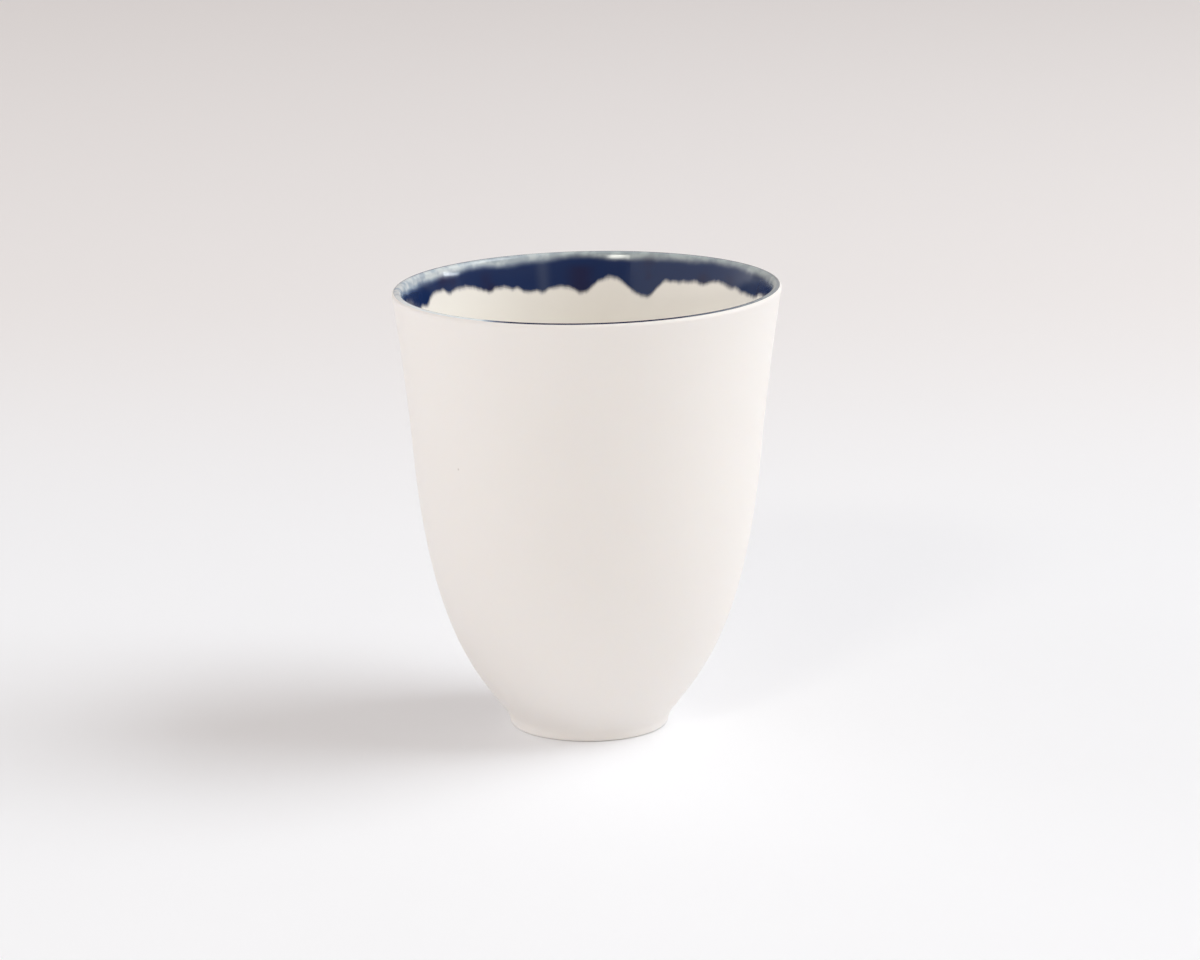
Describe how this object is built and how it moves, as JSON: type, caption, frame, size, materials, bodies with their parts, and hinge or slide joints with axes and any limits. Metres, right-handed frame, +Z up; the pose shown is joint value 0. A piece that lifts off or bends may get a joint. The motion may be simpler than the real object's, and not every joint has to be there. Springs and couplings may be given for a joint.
{
  "type": "handleless porcelain mug",
  "caption": "Handleless porcelain mug: thin matt shell on a small turned foot, lined with clear glaze, with a cobalt glaze band running down inside from the lip.",
  "frame": {"origin": "middle of the foot's resting plane", "axes": "+Z up along the mug's axis, +X towards the side where the lip stands highest"},
  "size_m": [0.08, 0.08, 0.0932],
  "materials": {
    "matt_porcelain": "unglazed, smooth and matt",
    "clear_glaze": "clear gloss glaze over cream-white porcelain",
    "cobalt_glaze": "gloss cobalt glaze, thin and pale on the lip"
  },
  "bodies": {
    "root": {"porcelain_body": "matt_porcelain", "clear_glaze_lining": "clear_glaze", "cobalt_rim_glaze": "cobalt_glaze"}
  },
  "joints": []
}
